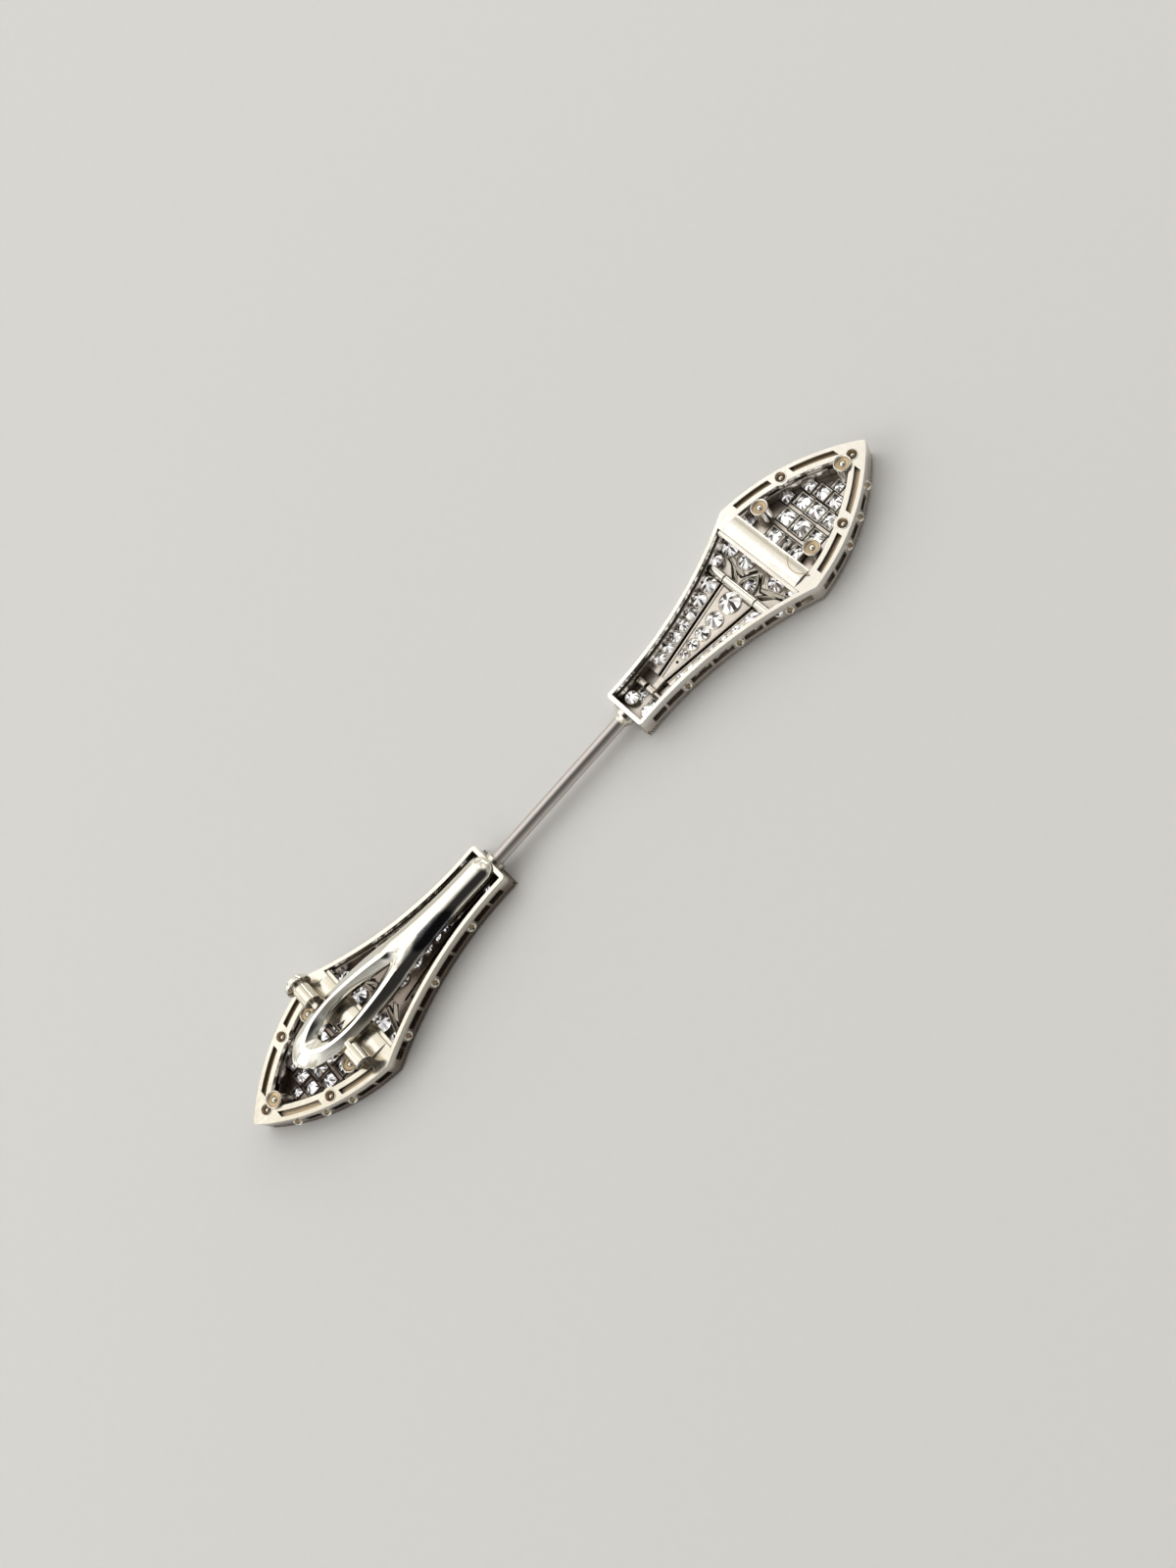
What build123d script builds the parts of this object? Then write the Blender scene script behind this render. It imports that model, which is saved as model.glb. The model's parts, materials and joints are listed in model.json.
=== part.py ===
from build123d import *
import os
from math import cos, radians, sqrt

os.makedirs("parts", exist_ok=True)

# Driving dimensions, in millimetres. Each head is drawn with its narrow end at x = 0, its tip
# towards +X, its stone face at z = 0 and its open back at z = head_depth.
head_length = 33.2
head_depth = 2.8
stem_span = 18.6
narrow_half = 2.4
neck_mid_x = 10.5
neck_mid_half = 3.25
wide_x = 19.9
wide_half = 6.35
arrow_mid_x = 26.8
arrow_mid_half = 4.5
tip_half = 0.42
tip_round = 0.35
half_turn = 180

plate_thick = 0.55
wall_thick = 0.3
rim_thick = 0.5
neck_rim = 0.4
arrow_rim = 1.5
end_rim = 0.45
corner_round = 0.4
overlap = 0.05

# Crossbar at the widest place, with a thin lip on its neck side
bar_start = 18.6
bar_end = 20.7
clip_bar_end = 21.4
bar_half_length = 4.7
bar_crown_z = 3.05
lip_width = 0.35
lip_half_length = 5.2
lip_top_z = 2.6
notch_length = 1.0
notch_half = 0.35

# Piercing of the side walls and of the arrow's back rim
wall_slot_low = 0.85
wall_slot_high = 1.85
wall_ring_radius = 0.3
rim_slot_outer = 0.42
rim_slot_inner = 0.98
rim_hole_radius = 0.52
rim_boss_radius = 0.85

# Studs that stand on the stone face inside the arrow
stud_radius = 0.8
stud_bore_radius = 0.45
stud_top_z = 2.9

# Hinged leaf of the pin head and its three-knuckle hinge
leaf_tip_x = 4.2
leaf_end_x = 15.2
leaf_tip_half = 0.3
leaf_end_half = 2.0
leaf_gap = 0.18
knuckle_radius = 0.38
hinge_x = 15.5
hinge_z = 1.2
hinge_rod_radius = 0.16
hinge_bore_radius = 0.2
leaf_knuckle_half = 2.0
fixed_knuckle_start = 2.1
strap_gap = 0.1
fixed_knuckle_end = 3.8
tip_hinge_x = 3.2
tip_knuckle_half = 0.42
tip_post_start = 0.75
tip_post_end = 1.75
latch_radius = 0.17
latch_end = 1.7

# Stem, its socket in the pin head and its guide tube in the clip head
stem_radius = 0.66
stem_z = 1.7
stem_in_pin_head = 0.4
stem_in_clip_head = 14.6
stem_point_length = 2.2
stem_point_radius = 0.05
socket_radius = 1.0
socket_bore_radius = 0.69
socket_end = 0.35
collar_length = 0.45
guide_radius = 1.03
guide_bore_radius = 0.71
guide_end = 7.0

# Lever on the back of the clip head
lever_length = 26.0
lever_nose_radius = 1.27
lever_nose_low_z = 2.92
lever_nose_high_z = 3.65
lever_end_low_z = 3.72
lever_end_high_z = 5.15
lever_axis_x = 21.0
lever_axis_z = 4.2
lever_bevel = 0.42
barrel_radius = 0.85
barrel_start = 3.15
barrel_end = 5.05
barrel_bore_radius = 0.32
pin_radius = 0.3
lever_bore_radius = 0.34
pin_inner_y = 1.5
knob_neck_radius = 0.7
knob_neck_end = 5.4
knob_radius = 1.35
knob_end = 6.25

# Cut stones: eight-sided, tables level with the stone face
table_z = 0.05
seat_gap = 0.08
table_ratio = 0.58
crown_ratio = 0.3
girdle_height = 0.06
pavilion_ratio = 0.76
culet_radius = 0.07
stone_sides = 8
flat_ratio = cos(radians(22.5))

pin_place = Location((stem_span / 2, 0, 0))
clip_place = Location((-stem_span / 2, 0, 0), (0, 0, half_turn))


def circle_through(p, q, r):
    """Centre and radius of the circle through three points of the plane."""
    (ax, ay), (bx, by), (cx, cy) = p, q, r
    d = 2 * (ax * (by - cy) + bx * (cy - ay) + cx * (ay - by))
    pa, pb, pc = ax * ax + ay * ay, bx * bx + by * by, cx * cx + cy * cy
    ux = (pa * (by - cy) + pb * (cy - ay) + pc * (ay - by)) / d
    uy = (pa * (cx - bx) + pb * (ax - cx) + pc * (bx - ax)) / d
    return ux, uy, sqrt((ax - ux) ** 2 + (ay - uy) ** 2)


def neck_half(x):
    """Half the head's width at x on the neck's concave side."""
    cx, cy, r = circle_through((0, narrow_half), (neck_mid_x, neck_mid_half), (wide_x, wide_half))
    return cy - sqrt(r * r - (x - cx) ** 2)


def leaf_half(x):
    """Half the leaf's width at x, between its tip and its wide end."""
    slope = (leaf_end_half - leaf_tip_half) / (leaf_end_x - leaf_tip_x)
    return leaf_tip_half + slope * (x - leaf_tip_x)


def head_outline(inset=0.0):
    """Kite outline of a head: a concave neck, a convex arrow and a small round tip."""
    tip_x = head_length - tip_round
    with BuildSketch() as outline:
        with BuildLine():
            Line((0, 0), (0, narrow_half))
            ThreePointArc((0, narrow_half), (neck_mid_x, neck_mid_half), (wide_x, wide_half))
            ThreePointArc((wide_x, wide_half), (arrow_mid_x, arrow_mid_half), (tip_x, tip_half))
            Line((tip_x, tip_half), (head_length, 0))
            mirror(about=Plane.XZ)
        make_face()
        fillet(outline.vertices().sort_by(Axis.X)[:2], corner_round)
        if inset:
            offset(amount=-inset, kind=Kind.INTERSECTION)
    return outline.sketch


def outline_between(inset, start, end):
    """The inset outline, cut off square at two stations along the head."""
    shape = head_outline(inset)
    middle = (start + end) / 2
    with BuildSketch() as piece:
        add(shape)
        with Locations((middle, 0)):
            Rectangle(end - start, 4 * wide_half, mode=Mode.INTERSECT)
    return piece.sketch


def rim_slots(start, end):
    """The pair of long slots that follows the arrow's edge between two stations."""
    outer = outline_between(rim_slot_outer, start, end)
    inner = head_outline(rim_slot_inner)
    with BuildSketch() as slots:
        add(outer)
        add(inner, mode=Mode.SUBTRACT)
    return slots.sketch


# Stations (start, end) of the wall's long slots and centres of its rings, along the head
neck_slots = [(1.3, 2.9), (3.2, 5.1), (6.3, 8.6), (8.9, 11.2), (12.4, 14.3), (14.6, 16.4), (17.6, 19.2)]
arrow_slots = [(20.5, 22.1), (22.4, 24.2), (25.5, 26.9), (28.1, 29.4)]
wall_rings = [5.7, 11.8, 17.0, 24.85, 27.5, 30.2]
back_rim_slots = [(21.1, 24.9), (26.95, 30.7)]
rim_holes = [(25.85, 4.0), (25.85, -4.0), (31.4, 0)]
studs = [(22.4, 3.4), (22.4, -3.4), (30.15, 0)]

# Stones as (x, y, radius); the arrow's and the crossbar's rows are mirrored about the axis
arrow_rows = [
    (21.6, 0, 0.7),
    (21.6, 1.6, 0.68),
    (21.3, 4.7, 0.55),
    (23.7, 0, 0.8),
    (23.7, 1.85, 0.68),
    (25.75, 0, 0.74),
    (25.75, 1.7, 0.66),
    (25.2, 3.35, 0.52),
    (27.5, 0.82, 0.6),
    (27.3, 2.3, 0.5),
    (28.85, 0, 0.44),
]
bar_stones = [(18.2, 4.2, 0.85), (18.2, 1.95, 0.85), (18.2, -1.95, 0.85), (18.2, -4.2, 0.85)]
lotus_stone = (16.6, 0, 0.6)
leaf_stones = [(14.1, 0, 1.0), (11.95, 0, 0.8), (10.3, 0, 0.65), (8.9, 0, 0.52), (7.75, 0, 0.44)]
leaf_dot = (6.7, 0.15)
row_first_x = 13.9
row_last_x = 4.8
row_web = 0.12
row_stone_limit = 0.72
end_stone = (2.3, 0.82, 0.42)


def mirrored(stones):
    """The stones with a copy of each that stands off the axis on its other side."""
    return stones + [(x, -y, r) for x, y, r in stones if y > 0]


def row_stones(side):
    """One row of stones between the leaf and the side wall, +1 on the +Y side or -1."""
    row = []
    x = row_first_x
    while x > row_last_x:
        low = leaf_half(x + row_stone_limit) + leaf_gap
        high = neck_half(x) - wall_thick
        seat_half = min(row_stone_limit * flat_ratio, (high - low) / 2 - row_web)
        row.append((x, side * (low + high) / 2, (seat_half - seat_gap) / flat_ratio))
        x -= 2 * seat_half + row_web
    end_x, end_y, end_r = end_stone
    return row + [(end_x, side * end_y, end_r)]


arrow_stones = mirrored(arrow_rows)
left_row = row_stones(1)
right_row = row_stones(-1)

# Outlines of the slots round the lotus motif, on the +Y side
lotus_arch = [(15.95, 0.85), (17.35, 0.42), (17.75, 0.12), (17.75, 0.32), (17.45, 0.6), (15.95, 1.05)]
lotus_leaf = [(16.05, 1.55), (17.05, 2.75), (17.05, 3.0), (15.95, 1.85)]


def pierced_plate(hinged):
    """Stone plate with its seats; the leaf's place is open or is a panel between slots."""
    square_seats = arrow_stones + left_row + right_row
    round_seats = bar_stones + [lotus_stone] + ([] if hinged else leaf_stones)
    shape = head_outline()
    gap = leaf_gap
    with BuildSketch() as plate:
        add(shape)
        for x, y, r in square_seats:
            side = 2 * (r * flat_ratio + seat_gap)
            with Locations((x, y)):
                Rectangle(side, side, mode=Mode.SUBTRACT)
        for x, y, r in round_seats:
            with Locations((x, y)):
                RegularPolygon(r * flat_ratio + seat_gap, stone_sides, major_radius=False,
                               rotation=22.5, mode=Mode.SUBTRACT)
        for points in (lotus_arch, lotus_leaf):
            for side in (1, -1):
                with BuildLine():
                    Polyline(*[(x, side * y) for x, y in points], close=True)
                make_face(mode=Mode.SUBTRACT)
        if hinged:
            with BuildLine():
                Polyline((leaf_tip_x - gap, leaf_tip_half + gap), (leaf_end_x + gap, leaf_end_half + gap),
                         (leaf_end_x + gap, -leaf_end_half - gap), (leaf_tip_x - gap, -leaf_tip_half - gap),
                         close=True)
            make_face(mode=Mode.SUBTRACT)
        else:
            for side in (1, -1):
                with BuildLine():
                    Polyline((leaf_tip_x, side * leaf_tip_half), (leaf_end_x, side * leaf_end_half),
                             (leaf_end_x, side * (leaf_end_half + gap)),
                             (leaf_tip_x, side * (leaf_tip_half + gap)), close=True)
                make_face(mode=Mode.SUBTRACT)
            dot_x, dot_r = leaf_dot
            with Locations((dot_x, 0)):
                Circle(dot_r, mode=Mode.SUBTRACT)
    return plate.sketch


def head_frame(hinged):
    """A soldered head: stone plate, pierced walls, back rim, crossbar, studs and fittings."""
    clip = not hinged
    last_x = clip_bar_end if clip else bar_end
    bar_middle = (bar_start + last_x) / 2
    plate = pierced_plate(hinged)
    outline = head_outline()
    inner = head_outline(wall_thick)
    neck_window = outline_between(neck_rim, end_rim, bar_start)
    arrow_window = outline_between(arrow_rim, last_x - overlap, head_length)
    slots = [rim_slots(start, end) for start, end in back_rim_slots]
    rim_low = head_depth - rim_thick
    wall_high = rim_low - plate_thick
    slot_height = wall_slot_high - wall_slot_low
    slot_middle = (wall_slot_high + wall_slot_low) / 2
    axis_plane = Plane(origin=(0, 0, stem_z), x_dir=(0, 1, 0), z_dir=(1, 0, 0))
    tube_radius = guide_radius if clip else socket_radius
    tube_bore = guide_bore_radius if clip else socket_bore_radius
    tube_end = guide_end if clip else socket_end
    with BuildPart() as frame:
        with BuildSketch(Plane.XY.offset(plate_thick - overlap)):
            add(outline)
            add(inner, mode=Mode.SUBTRACT)
        extrude(amount=wall_high + 2 * overlap)
        # Slots and rings pass straight across, through both side walls
        with BuildSketch(Plane.XZ.offset(-2 * wide_half)):
            for start, end in neck_slots + arrow_slots:
                with Locations(((start + end) / 2, slot_middle)):
                    Rectangle(end - start, slot_height)
            for x in wall_rings:
                with Locations((x, slot_middle)):
                    Circle(wall_ring_radius)
        extrude(amount=4 * wide_half, mode=Mode.SUBTRACT)
        # Back rim with its bosses, slots and holes
        with BuildSketch(Plane.XY.offset(rim_low)):
            add(outline)
            add(neck_window, mode=Mode.SUBTRACT)
            add(arrow_window, mode=Mode.SUBTRACT)
            with Locations(*rim_holes):
                Circle(rim_boss_radius)
            for pair in slots:
                add(pair, mode=Mode.SUBTRACT)
            with Locations(*rim_holes):
                Circle(rim_hole_radius, mode=Mode.SUBTRACT)
        extrude(amount=rim_thick)
        # Crossbar with a low arched back
        with BuildSketch(Plane.XZ):
            with BuildLine():
                Polyline((last_x, head_depth), (last_x, rim_low), (bar_start, rim_low),
                         (bar_start, head_depth))
                ThreePointArc((bar_start, head_depth), (bar_middle, bar_crown_z), (last_x, head_depth))
            make_face()
        extrude(amount=bar_half_length, both=True)
        with Locations((bar_start - lip_width / 2, 0, (rim_low + lip_top_z) / 2)):
            Box(lip_width + overlap, 2 * lip_half_length, lip_top_z - rim_low)
        # Hollow studs
        with BuildSketch(Plane.XY.offset(plate_thick - overlap)):
            with Locations(*studs):
                Circle(stud_radius)
                Circle(stud_bore_radius, mode=Mode.SUBTRACT)
        extrude(amount=stud_top_z - plate_thick + overlap)
        # Stem socket or guide tube, through the narrow end's wall
        with BuildSketch(axis_plane.offset(-collar_length)):
            Circle(tube_radius)
        extrude(amount=tube_end + collar_length)
        if clip:
            with Locations((guide_end / 2, 0, (plate_thick + stem_z) / 2 - guide_radius / 2)):
                Box(guide_end - end_rim, guide_radius / 2, stem_z - guide_radius)
        with BuildSketch(axis_plane.offset(-2 * collar_length)):
            Circle(tube_bore)
        extrude(amount=tube_end + 4 * collar_length, mode=Mode.SUBTRACT)
        if hinged:
            # Fixed knuckles on feet, with the rod soldered into them
            foot_height = hinge_z - plate_thick + overlap
            knuckle_middle = (fixed_knuckle_start + fixed_knuckle_end) / 2
            knuckle_length = fixed_knuckle_end - fixed_knuckle_start
            for side in (1, -1):
                with Locations((hinge_x, side * knuckle_middle, hinge_z)):
                    Cylinder(knuckle_radius, knuckle_length, rotation=(90, 0, 0))
                with Locations((hinge_x, side * knuckle_middle, hinge_z - foot_height / 2)):
                    Box(1.2 * knuckle_radius, knuckle_length, foot_height)
            with Locations((hinge_x, 0, hinge_z)):
                Cylinder(hinge_rod_radius, 2 * fixed_knuckle_start + overlap, rotation=(90, 0, 0))
            # Knuckle beside the leaf's tip, on the +Y side, standing on the plate
            post_middle = (tip_post_start + tip_post_end) / 2
            post_length = tip_post_end - tip_post_start
            with Locations((tip_hinge_x, post_middle, hinge_z)):
                Cylinder(knuckle_radius, post_length, rotation=(90, 0, 0))
            with Locations((tip_hinge_x, post_middle, hinge_z - foot_height / 2)):
                Box(1.2 * knuckle_radius, post_length, foot_height)
        else:
            # Barrels of the lever's hinge on the ends of the crossbar, and a notch between them
            barrel_middle = (barrel_start + barrel_end) / 2
            barrel_length = barrel_end - barrel_start
            foot_low = rim_low + overlap
            for side in (1, -1):
                with Locations((lever_axis_x, side * barrel_middle, lever_axis_z)):
                    Cylinder(barrel_radius, barrel_length, rotation=(90, 0, 0))
                with Locations((lever_axis_x, side * barrel_middle, (foot_low + lever_axis_z) / 2)):
                    Box(1.5 * barrel_radius, barrel_length, lever_axis_z - foot_low)
            with Locations((lever_axis_x, 0, lever_axis_z)):
                Cylinder(barrel_bore_radius, 4 * wide_half, rotation=(90, 0, 0), mode=Mode.SUBTRACT)
            with BuildSketch(Plane.XY.offset(rim_low)):
                with BuildLine():
                    Polyline((last_x - notch_half, notch_half), (last_x - notch_half, -notch_half),
                             (last_x - notch_half - notch_length, 0), close=True)
                make_face()
            extrude(amount=head_depth, mode=Mode.SUBTRACT)
        with BuildSketch():
            add(plate)
        extrude(amount=plate_thick)
    return frame.part


def leaf_plate():
    """The swinging leaf: a V-shaped plate of seats, its hinge knuckle and its tip latch."""
    with BuildPart() as leaf:
        with BuildSketch():
            with BuildLine():
                Polyline((leaf_tip_x, leaf_tip_half), (leaf_end_x, leaf_end_half),
                         (leaf_end_x, -leaf_end_half), (leaf_tip_x, -leaf_tip_half), close=True)
            make_face()
            for x, y, r in leaf_stones:
                with Locations((x, y)):
                    RegularPolygon(r * flat_ratio + seat_gap, stone_sides, major_radius=False,
                                   rotation=22.5, mode=Mode.SUBTRACT)
            dot_x, dot_r = leaf_dot
            with Locations((dot_x, 0)):
                Circle(dot_r, mode=Mode.SUBTRACT)
        extrude(amount=plate_thick)
        # Strap from the plate's wide end up to the knuckle
        strap_low = plate_thick + strap_gap
        strap_start = leaf_end_x - 2 * strap_gap
        with Locations(((strap_start + hinge_x) / 2, 0, (strap_low + hinge_z) / 2)):
            Box(hinge_x - strap_start, 1.9 * leaf_knuckle_half, hinge_z - strap_low)
        with Locations((leaf_end_x - strap_gap, 0, plate_thick)):
            Box(2 * strap_gap, 1.9 * leaf_knuckle_half, 2 * strap_gap + overlap)
        with Locations((hinge_x, 0, hinge_z)):
            Cylinder(knuckle_radius, 2 * leaf_knuckle_half, rotation=(90, 0, 0))
            Cylinder(hinge_bore_radius, 2 * leaf_knuckle_half, rotation=(90, 0, 0), mode=Mode.SUBTRACT)
        # Block, knuckle and thin rod at the tip
        block_end = leaf_tip_x + 2 * leaf_tip_half
        with Locations(((tip_hinge_x + block_end) / 2, 0, (strap_low + hinge_z) / 2)):
            Box(block_end - tip_hinge_x, 2 * leaf_tip_half, hinge_z - strap_low)
        with Locations(((leaf_tip_x + block_end) / 2, 0, (plate_thick + hinge_z) / 2)):
            Box(block_end - leaf_tip_x, 2 * leaf_tip_half, hinge_z - plate_thick + overlap)
        with Locations((tip_hinge_x, 0, hinge_z)):
            Cylinder(knuckle_radius, 2 * tip_knuckle_half, rotation=(90, 0, 0))
        with Locations((tip_hinge_x, -latch_end / 2, hinge_z)):
            Cylinder(latch_radius, latch_end, rotation=(90, 0, 0))
    return leaf.part


def pin_stem():
    """Round stem from its socket in the pin head to its point inside the clip head."""
    start = stem_span / 2 + stem_in_pin_head
    point = -stem_span / 2 - stem_in_clip_head
    with BuildPart() as stem:
        with BuildSketch(Plane.XZ):
            with BuildLine():
                Polyline((start, stem_z), (start, stem_z + stem_radius),
                         (point + stem_point_length, stem_z + stem_radius),
                         (point, stem_z + stem_point_radius), (point, stem_z), close=True)
            make_face()
        revolve(axis=Axis((0, 0, stem_z), (1, 0, 0)))
    return stem.part


def lever_body():
    """Pear-shaped lever, low at its nose: a bevelled strip that splits into a loop, bored for its pins."""
    climb = lever_end_high_z - lever_nose_high_z
    top_plane = Plane(origin=(0, 0, lever_nose_high_z), x_dir=(lever_length, 0, climb),
                      z_dir=(-climb, 0, lever_length))
    with BuildPart() as lever:
        with BuildSketch(top_plane):
            with BuildLine():
                RadiusArc((0, 0), (lever_nose_radius, lever_nose_radius), lever_nose_radius)
                Spline((lever_nose_radius, lever_nose_radius), (5.5, 1.33), (10.5, 1.75), (14.8, 2.38),
                       (18.9, 2.62), (22.6, 2.35), (25.0, 1.45), (lever_length, 0),
                       tangents=((1, 0), (0, -1)))
                mirror(about=Plane.XZ)
            make_face()
            with BuildLine():
                Spline((13.0, 0), (15.6, 0.62), (18.9, 1.12), (21.4, 0.85), (22.8, 0),
                       tangents=((3, 0.9), (0, -1)))
                mirror(about=Plane.XZ)
            make_face(mode=Mode.SUBTRACT)
        extrude(amount=lever_nose_low_z - lever_end_high_z)
        top = lever.faces().sort_by(Axis.Z)[-1]
        chamfer(top.outer_wire().edges(), lever_bevel)
        # The underside climbs less steeply than the top
        with BuildSketch(Plane.XZ):
            with BuildLine():
                Polyline((-head_depth, 0), (lever_length + head_depth, 0),
                         (lever_length + head_depth, lever_end_low_z), (lever_length, lever_end_low_z),
                         (0, lever_nose_low_z), (-head_depth, lever_nose_low_z), close=True)
            make_face()
        extrude(amount=wide_half, both=True, mode=Mode.SUBTRACT)
        with Locations((lever_axis_x, 0, lever_axis_z)):
            Cylinder(lever_bore_radius, 4 * wide_half, rotation=(90, 0, 0), mode=Mode.SUBTRACT)
    return lever.part


def hinge_pin(knobbed):
    """Stub pin of the lever's hinge; the knobbed one has a round head outside its barrel."""
    with BuildPart() as pin:
        with BuildSketch(Plane(origin=(lever_axis_x, 0, lever_axis_z), x_dir=(0, 1, 0), z_dir=(1, 0, 0))):
            with BuildLine():
                if knobbed:
                    Polyline((pin_inner_y, 0), (pin_inner_y, pin_radius), (barrel_end + 0.03, pin_radius),
                             (barrel_end + 0.03, knob_neck_radius), (knob_neck_end, knob_neck_radius),
                             (knob_neck_end, knob_radius - 0.12), (knob_neck_end + 0.12, knob_radius),
                             (knob_end - 0.2, knob_radius), (knob_end, knob_radius - 0.2),
                             (knob_end, 0), close=True)
                else:
                    Polyline((pin_inner_y, 0), (pin_inner_y, pin_radius), (barrel_end, pin_radius),
                             (barrel_end, 0), close=True)
            make_face()
        revolve(axis=Axis((lever_axis_x, 0, lever_axis_z), (0, 1, 0)))
    return pin.part


def cut_stone(radius):
    """Eight-sided brilliant with its table at z = 0 facing down and its culet up."""
    girdle_z = crown_ratio * radius
    pavilion_z = girdle_z + girdle_height
    culet_z = pavilion_z + pavilion_ratio * radius
    outlines = [(0, table_ratio * radius), (girdle_z, radius)], [(pavilion_z, radius), (culet_z, culet_radius)]
    with BuildPart() as stone:
        for pair in outlines:
            for z, r in pair:
                with BuildSketch(Plane.XY.offset(z)):
                    RegularPolygon(r, stone_sides, rotation=22.5)
            loft(ruled=True)
        with BuildSketch(Plane.XY.offset(girdle_z)):
            RegularPolygon(radius, stone_sides, rotation=22.5)
        extrude(amount=girdle_height)
    return stone.part


def stone_group(stones):
    """Cut stones set at their places in a head."""
    cut = [(x, y, cut_stone(r)) for x, y, r in stones]
    with BuildPart() as group:
        for x, y, stone in cut:
            with Locations((x, y, table_z)):
                add(stone)
    return group.part


def keep(piece, name, place):
    """Put a piece at its place, label it and write its file."""
    moved = piece.moved(place)
    moved.label = name
    export_step(moved, f"parts/{name}.step")


here = Location()
keep(head_frame(hinged=True), "pin_head_frame", pin_place)
keep(head_frame(hinged=False), "clip_head_frame", clip_place)
keep(leaf_plate(), "pin_head_leaf", pin_place)
keep(pin_stem(), "pin_stem", here)
keep(lever_body(), "clip_lever", clip_place)
knob_pin = hinge_pin(knobbed=True).mirror(Plane.XZ)
keep(knob_pin, "lever_pin_knobbed", clip_place)
keep(hinge_pin(knobbed=False), "lever_pin_plain", clip_place)

groups = {
    "arrow_stones": arrow_stones,
    "left_row_stones": left_row,
    "right_row_stones": right_row,
    "lotus_stone": [lotus_stone],
}
for number, stone in enumerate(bar_stones, 1):
    groups[f"bar_stone_{number}"] = [stone]
for number, stone in enumerate(leaf_stones, 1):
    groups[f"leaf_stone_{number}"] = [stone]
for name, stones in groups.items():
    group = stone_group(stones)
    keep(group, f"pin_{name}", pin_place)
    keep(group, f"clip_{name}", clip_place)
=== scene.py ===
import json
import math

import bmesh
import bpy
import numpy as np
from bpy.props import FloatProperty, FloatVectorProperty, PointerProperty
from bpy.types import Operator, Panel, PropertyGroup
from mathutils import Matrix


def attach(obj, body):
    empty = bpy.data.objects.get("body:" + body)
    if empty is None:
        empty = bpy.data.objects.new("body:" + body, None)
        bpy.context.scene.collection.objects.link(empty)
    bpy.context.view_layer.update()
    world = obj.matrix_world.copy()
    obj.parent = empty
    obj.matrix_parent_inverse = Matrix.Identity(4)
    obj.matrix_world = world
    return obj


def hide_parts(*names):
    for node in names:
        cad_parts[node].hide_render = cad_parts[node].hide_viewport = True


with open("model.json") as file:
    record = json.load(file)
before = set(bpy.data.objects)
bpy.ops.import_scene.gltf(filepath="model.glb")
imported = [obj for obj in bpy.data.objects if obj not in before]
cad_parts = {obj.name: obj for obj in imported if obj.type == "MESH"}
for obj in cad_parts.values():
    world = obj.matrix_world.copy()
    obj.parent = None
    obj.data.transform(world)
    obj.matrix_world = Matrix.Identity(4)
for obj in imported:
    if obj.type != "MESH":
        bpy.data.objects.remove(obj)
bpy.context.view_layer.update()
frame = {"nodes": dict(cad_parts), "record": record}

bl_info = {
    "name": "Jabot Pin",
    "version": (1, 0, 0),
    "blender": (4, 5, 0),
    "location": "3D View > Sidebar > Jabot Pin",
    "description": "Dresses a two-headed stone-set jabot pin with its lever, stones, settings and finishes",
    "category": "Add Mesh",
}

mm = 0.001

# The solids' measures in millimetres. A head runs from its narrow end, x = 0, to its tip.
half_span = 9.3
plate_top = 0.55
head_depth = 2.8
bar_crown = 3.05
bar_middle = 19.65
bar_half = 1.05
flat_ratio = math.cos(math.pi / 8)
neck_points = [(0, 2.4), (10.5, 3.25), (19.9, 6.35)]
arrow_points = [(19.9, 6.35), (26.8, 4.5), (32.85, 0.42)]
arrow_rows = [(21.6, 0, 0.7), (21.6, 1.6, 0.68), (21.3, 4.7, 0.55), (23.7, 0, 0.8), (23.7, 1.85, 0.68),
              (25.75, 0, 0.74), (25.75, 1.7, 0.66), (25.2, 3.35, 0.52), (27.5, 0.82, 0.6),
              (27.3, 2.3, 0.5), (28.85, 0, 0.44)]
bar_stones = [(18.2, 4.2, 0.85), (18.2, 1.95, 0.85), (18.2, -1.95, 0.85), (18.2, -4.2, 0.85)]
lotus_stone = (16.6, 0, 0.6)
leaf_stones = [(14.1, 0, 1.0), (11.95, 0, 0.8), (10.3, 0, 0.65), (8.9, 0, 0.52), (7.75, 0, 0.44)]
rim_holes = [(25.85, 4.0), (25.85, -4.0), (31.4, 0)]
studs = [(22.4, 3.4), (22.4, -3.4), (30.15, 0)]
lever_hinge = (21.0, 4.2)
leaf_hinge = (15.5, 1.2)
bed_top = 1.1
stem_height = 1.7
seat_gap = 0.08
table_height = 0.05
wall_rings = [5.7, 11.8, 17.0, 24.85, 27.5, 30.2]

# Pixels per millimetre at the pin, and half the picture's height in pixels
photo_scale = 10.85
half_picture = 800


# Shapes: arrays of points and faces

def arc_through(points, count):
    """Points on the circle through three points: its centre lies where their bisectors meet."""
    (ax, ay), (bx, by), (cx, cy) = points
    turn = 2 * (ax * (by - cy) + bx * (cy - ay) + cx * (ay - by))
    a2, b2, c2 = ax * ax + ay * ay, bx * bx + by * by, cx * cx + cy * cy
    centre = np.array(((a2 * (by - cy) + b2 * (cy - ay) + c2 * (ay - by)) / turn,
                       (a2 * (cx - bx) + b2 * (ax - cx) + c2 * (bx - ax)) / turn))
    start, end = (np.subtract(p, centre) for p in (points[0], points[2]))
    first = math.atan2(start[1], start[0])
    sweep = (math.atan2(end[1], end[0]) - first + math.pi) % (2 * math.pi) - math.pi
    angle = first + np.linspace(0, 1, count) * sweep
    return centre + np.hypot(*start) * np.stack((np.cos(angle), np.sin(angle)), axis=1)


neck_edge = arc_through(neck_points, 90)
arrow_edge = arc_through(arrow_points, 70)
side_edge = np.concatenate((neck_edge, arrow_edge[1:]))


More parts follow.
